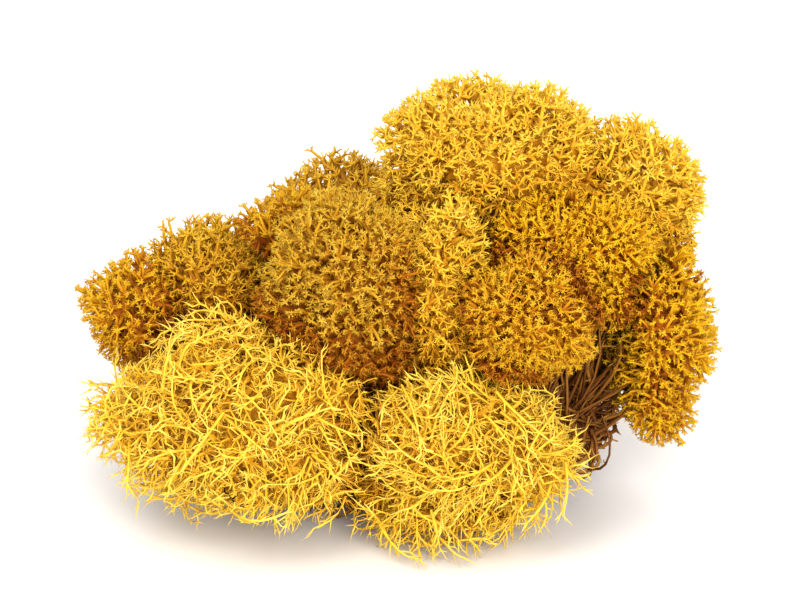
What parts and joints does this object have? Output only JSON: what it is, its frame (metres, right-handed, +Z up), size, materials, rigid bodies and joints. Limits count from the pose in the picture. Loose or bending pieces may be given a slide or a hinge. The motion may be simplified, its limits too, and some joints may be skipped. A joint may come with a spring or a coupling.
{
  "type": "reindeer moss clump",
  "caption": "cushion of golden yellow reindeer moss: rounded bushy lichen heads grown together on a felt of brown old stems",
  "frame": {"origin": "the middle of the clump's plan on the surface it rests on", "axes": "+Z up, +X along the clump's longest side, +Y from the side with the pale straw heads to the far side"},
  "size_m": [0.0938, 0.0706, 0.0591],
  "materials": {
    "lichen_yellow": "matt, pale yellow tips over golden branches",
    "lichen_gold": "matt, saturated golden yellow, finely branched",
    "lichen_golden_ochre": "matt, dull gold, finely branched",
    "lichen_ochre": "matt, ochre, browner towards the base",
    "lichen_dull_yellow": "matt, dull yellow",
    "lichen_straw": "matt, pale straw, coarse and loosely branched",
    "old_stems": "matt, dull red-brown, dead stems"
  },
  "bodies": {
    "root": {"crest_head": "lichen_yellow", "shoulder_head": "lichen_yellow", "middle_head": "lichen_yellow", "golden_dome_head": "lichen_gold", "front_ball_head": "lichen_golden_ochre", "ochre_dome_head": "lichen_ochre", "orange_bud_head": "lichen_golden_ochre", "left_shoulder_head": "lichen_dull_yellow", "left_ball_head": "lichen_golden_ochre", "back_left_head": "lichen_dull_yellow", "back_right_head": "lichen_yellow", "right_side_head": "lichen_gold", "straw_front_head": "lichen_straw", "straw_right_head": "lichen_straw", "back_low_head": "lichen_golden_ochre", "old_stem_mat": "old_stems"}
  },
  "joints": []
}
